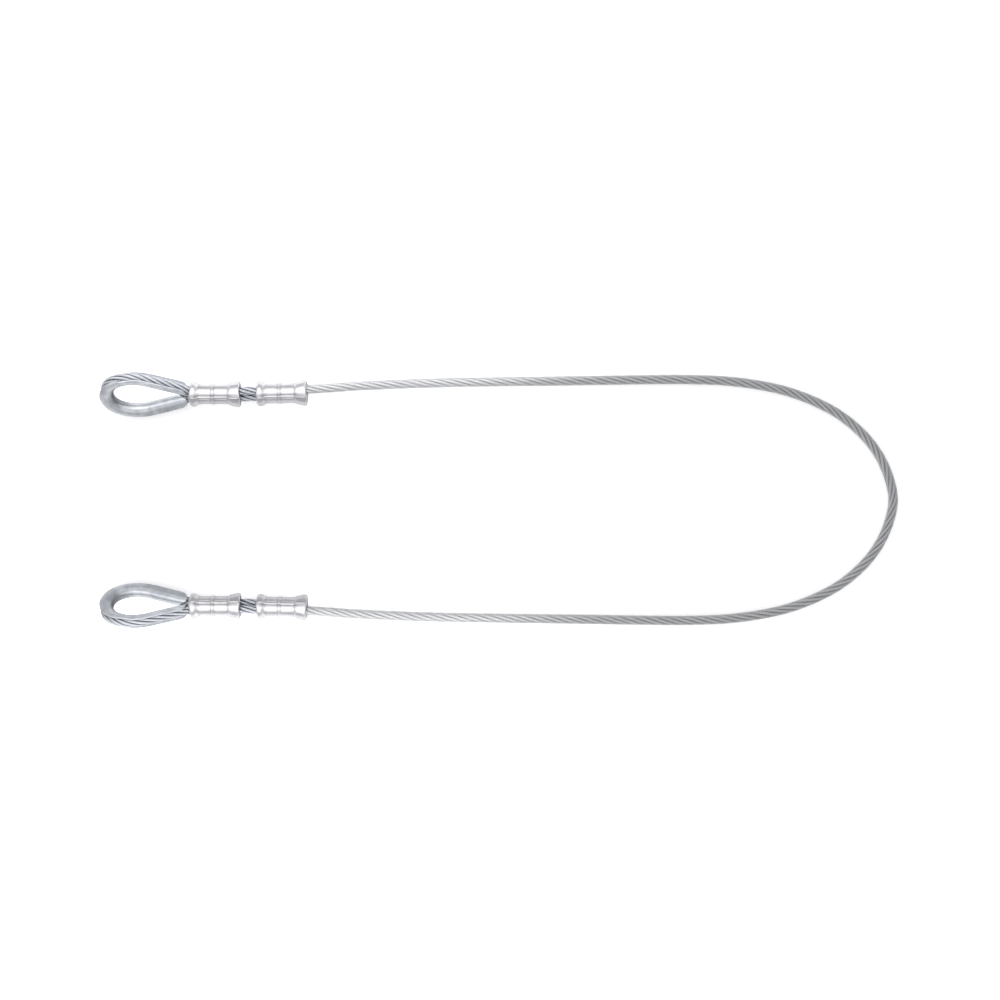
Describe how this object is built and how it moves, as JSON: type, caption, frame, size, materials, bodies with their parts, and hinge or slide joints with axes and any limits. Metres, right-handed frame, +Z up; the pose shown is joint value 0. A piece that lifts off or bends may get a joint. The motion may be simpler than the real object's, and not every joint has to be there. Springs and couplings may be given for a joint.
{
  "type": "wire rope sling",
  "caption": "Lightweight wire rope sling with a clear sheath, bent double, with a thimble eye closed by pressed sleeves at each end.",
  "frame": {"origin": "middle of the bounding box in plan, on the surface that the sling lies on", "axes": "+X from the eyes towards the bend, +Y towards eye a, +Z up"},
  "size_m": [0.6216, 0.1978, 0.0349],
  "materials": {
    "galvanised_thimble": "dull zinc galvanised steel",
    "pressed_aluminium": "smooth pressed aluminium with flash lines",
    "bare_strand": "bright drawn galvanised wire",
    "rope_core": "wire core, in shade",
    "sheathed_strand": "bright drawn galvanised wire under a clear sheath",
    "clear_sheath": "clear soft PVC, glossy"
  },
  "bodies": {
    "bend": {"run_rope_bend": "sheathed_strand", "run_sheath_bend": "clear_sheath", "run_rope_turn_a": "sheathed_strand", "run_sheath_turn_a": "clear_sheath", "run_rope_turn_b": "sheathed_strand", "run_sheath_turn_b": "clear_sheath"},
    "leg_a": {"run_rope_leg_a": "sheathed_strand", "run_sheath_leg_a": "clear_sheath", "run_rope_flex_a": "sheathed_strand", "run_sheath_flex_a": "clear_sheath"},
    "eye_a": {"thimble_a": "galvanised_thimble", "sleeve_eye_a": "pressed_aluminium", "sleeve_run_a": "pressed_aluminium", "strand_1_a": "bare_strand", "strand_2_a": "bare_strand", "strand_3_a": "bare_strand", "strand_4_a": "bare_strand", "strand_5_a": "bare_strand", "strand_6_a": "bare_strand", "rope_core_a": "rope_core", "run_rope_mouth_a": "sheathed_strand", "run_sheath_mouth_a": "clear_sheath"},
    "leg_b": {"run_rope_leg_b": "sheathed_strand", "run_sheath_leg_b": "clear_sheath", "run_rope_flex_b": "sheathed_strand", "run_sheath_flex_b": "clear_sheath"},
    "eye_b": {"thimble_b": "galvanised_thimble", "sleeve_eye_b": "pressed_aluminium", "sleeve_run_b": "pressed_aluminium", "strand_1_b": "bare_strand", "strand_2_b": "bare_strand", "strand_3_b": "bare_strand", "strand_4_b": "bare_strand", "strand_5_b": "bare_strand", "strand_6_b": "bare_strand", "rope_core_b": "rope_core", "run_rope_mouth_b": "sheathed_strand", "run_sheath_mouth_b": "clear_sheath"}
  },
  "joints": [
    {"name": "leg_a_swing", "type": "hinge", "parent": "bend", "child": "leg_a", "pos_m": [0.1888, 0.092, 0.004], "axis": [0, 0, -1], "range_deg": [-6, 20], "deforming": ["run_rope_turn_a", "run_sheath_turn_a"]},
    {"name": "eye_a_lift", "type": "hinge", "parent": "leg_a", "child": "eye_a", "pos_m": [-0.1052, 0.0896, 0.008], "axis": [0, 1, 0], "range_deg": [0, 30], "deforming": ["run_rope_flex_a", "run_sheath_flex_a"]},
    {"name": "leg_b_swing", "type": "hinge", "parent": "bend", "child": "leg_b", "pos_m": [0.1888, -0.092, 0.004], "axis": [0, 0, 1], "range_deg": [-6, 20], "deforming": ["run_rope_turn_b", "run_sheath_turn_b"]},
    {"name": "eye_b_lift", "type": "hinge", "parent": "leg_b", "child": "eye_b", "pos_m": [-0.1052, -0.0896, 0.008], "axis": [0, 1, 0], "range_deg": [0, 30], "deforming": ["run_rope_flex_b", "run_sheath_flex_b"]}
  ]
}
